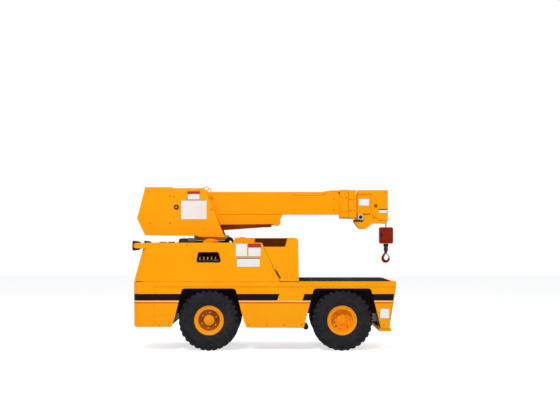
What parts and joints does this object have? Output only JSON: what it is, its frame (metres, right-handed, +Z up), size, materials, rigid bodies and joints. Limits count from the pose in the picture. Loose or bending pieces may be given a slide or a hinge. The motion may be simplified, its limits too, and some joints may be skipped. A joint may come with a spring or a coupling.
{
  "type": "mobile crane",
  "caption": "Low carry-deck crane with rear turret, telescoping boom, hoist block and hook, open operator's station and lugged tyres.",
  "frame": {"origin": "on the floor under the middle of the machine's bounding box", "axes": "+X forward, towards the deck and the boom's head; +Y to the operator's left; +Z up"},
  "size_m": [3.36, 1.45, 2.088],
  "materials": {
    "paint": "semi-gloss yellow machine paint",
    "dark_metal": "satin black enamel",
    "tread": "gritty non-skid coating",
    "tyre": "worn rubber",
    "block_red": "worn dark red paint",
    "steel": "greased machined steel",
    "vinyl": "black vinyl",
    "plastic": "moulded black plastic",
    "lens": "red lens",
    "lamp": "clear lamp",
    "fittings": "brass fittings",
    "iron": "oily cast iron",
    "chrome": "polished cylinder rod"
  },
  "bodies": {
    "chassis": {"chassis_frame": "dark_metal", "turret_pedestal": "paint", "side_panel_right": "paint", "side_panel_left": "paint", "counterweight": "paint", "front_bumper": "paint", "headlamps": "lamp", "deck_plate": "paint", "deck_tread": "tread", "hood_right": "paint", "hood_left": "paint", "rear_grille": "paint", "engine_block": "iron", "valve_bank": "fittings", "cowl": "paint", "hydraulic_tank": "paint", "station_walls": "paint", "seat_base": "dark_metal", "seat_cushion": "vinyl", "seat_back": "vinyl", "steering_wheel": "plastic", "dashboard": "dark_metal", "controls": "dark_metal", "tail_lamps": "dark_metal", "tail_lenses": "lens", "tail_lamp_arms": "paint", "exhaust": "iron", "front_axle": "dark_metal", "rear_axle_beam": "dark_metal"},
    "knuckle_right": {"knuckle_right": "dark_metal"},
    "knuckle_left": {"knuckle_left": "dark_metal"},
    "tie_rod": {"tie_rod": "steel"},
    "turret": {"turret": "paint"},
    "boom": {"boom_base": "paint"},
    "boom_middle": {"boom_mid": "paint"},
    "boom_end": {"boom_tip": "paint", "hoist": "steel"},
    "lift_barrel": {"lift_barrel": "paint"},
    "lift_rod": {"lift_rod": "chrome"},
    "hoist_rope": {"hoist_rope": "steel"},
    "hook_block": {"hook_block": "block_red"},
    "hook": {"hook": "block_red"},
    "wheel_front_right": {"tyre_front_right": "tyre", "rim_front_right": "paint"},
    "wheel_front_left": {"tyre_front_left": "tyre", "rim_front_left": "paint"},
    "wheel_rear_right": {"tyre_rear_right": "tyre", "rim_rear_right": "paint"},
    "wheel_rear_left": {"tyre_rear_left": "tyre", "rim_rear_left": "paint"}
  },
  "joints": [
    {"name": "steer_right", "type": "hinge", "parent": "chassis", "child": "knuckle_right", "pos_m": [-0.712, -0.47, 0.385], "axis": [0, 0, 1], "range_deg": [-30, 30]},
    {"name": "steer_left", "type": "hinge", "parent": "chassis", "child": "knuckle_left", "pos_m": [-0.712, 0.47, 0.385], "axis": [0, 0, 1], "range_deg": [-30, 30]},
    {"name": "tie_rod_pivot", "type": "hinge", "parent": "knuckle_right", "child": "tie_rod", "pos_m": [-0.604, -0.46, 0.297], "axis": [0, 0, 1], "range_deg": [-30, 30]},
    {"name": "spin_front_right", "type": "hinge", "parent": "chassis", "child": "wheel_front_right", "pos_m": [0.973, -0.588, 0.385], "axis": [0, 1, 0], "continuous": true},
    {"name": "spin_front_left", "type": "hinge", "parent": "chassis", "child": "wheel_front_left", "pos_m": [0.973, 0.588, 0.385], "axis": [0, 1, 0], "continuous": true},
    {"name": "spin_rear_right", "type": "hinge", "parent": "knuckle_right", "child": "wheel_rear_right", "pos_m": [-0.712, -0.588, 0.385], "axis": [0, 1, 0], "continuous": true},
    {"name": "spin_rear_left", "type": "hinge", "parent": "knuckle_left", "child": "wheel_rear_left", "pos_m": [-0.712, 0.588, 0.385], "axis": [0, 1, 0], "continuous": true},
    {"name": "swing", "type": "hinge", "parent": "chassis", "child": "turret", "pos_m": [-0.712, 0, 1.397], "axis": [0, 0, 1], "continuous": true},
    {"name": "luff", "type": "hinge", "parent": "turret", "child": "boom", "pos_m": [-1.156, 0, 1.829], "axis": [0, -1, 0], "range_deg": [0, 70]},
    {"name": "extend_middle", "type": "slide", "parent": "boom", "child": "boom_middle", "axis": [1, 0, 0], "range_m": [0, 1]},
    {"name": "extend_end", "type": "slide", "parent": "boom_middle", "child": "boom_end", "axis": [1, 0, 0], "range_m": [0, 1]},
    {"name": "cylinder_pivot", "type": "hinge", "parent": "turret", "child": "lift_barrel", "pos_m": [-0.811, 0, 1.567], "axis": [0, -1, 0], "range_deg": [0, 76]},
    {"name": "cylinder_stroke", "type": "slide", "parent": "lift_barrel", "child": "lift_rod", "axis": [0.9974, 0, 0.0718], "range_m": [0, 0.5]},
    {"name": "rope_plumb", "type": "hinge", "parent": "boom_end", "child": "hoist_rope", "pos_m": [1.535, 0, 1.7], "axis": [0, -1, 0], "range_deg": [-70, 0]},
    {"name": "block_payout", "type": "slide", "parent": "hoist_rope", "child": "hook_block", "axis": [0, 0, -1], "range_m": [0, 0.19]},
    {"name": "hook_swivel", "type": "hinge", "parent": "hook_block", "child": "hook", "pos_m": [1.59, 0, 1.355], "axis": [0, 0, 1], "continuous": true}
  ],
  "couplings": [
    {"joint": "steer_left", "follows": "steer_right", "ratio": 1},
    {"joint": "tie_rod_pivot", "follows": "steer_right", "ratio": -1},
    {"joint": "extend_end", "follows": "extend_middle", "ratio": 1},
    {"joint": "cylinder_pivot", "follows": "luff", "ratio": 1.0664},
    {"joint": "cylinder_stroke", "follows": "luff", "m_per_rad": 0.39915},
    {"joint": "rope_plumb", "follows": "luff", "ratio": -1},
    {"joint": "block_payout", "follows": "luff", "m_per_rad": 0.15551}
  ]
}
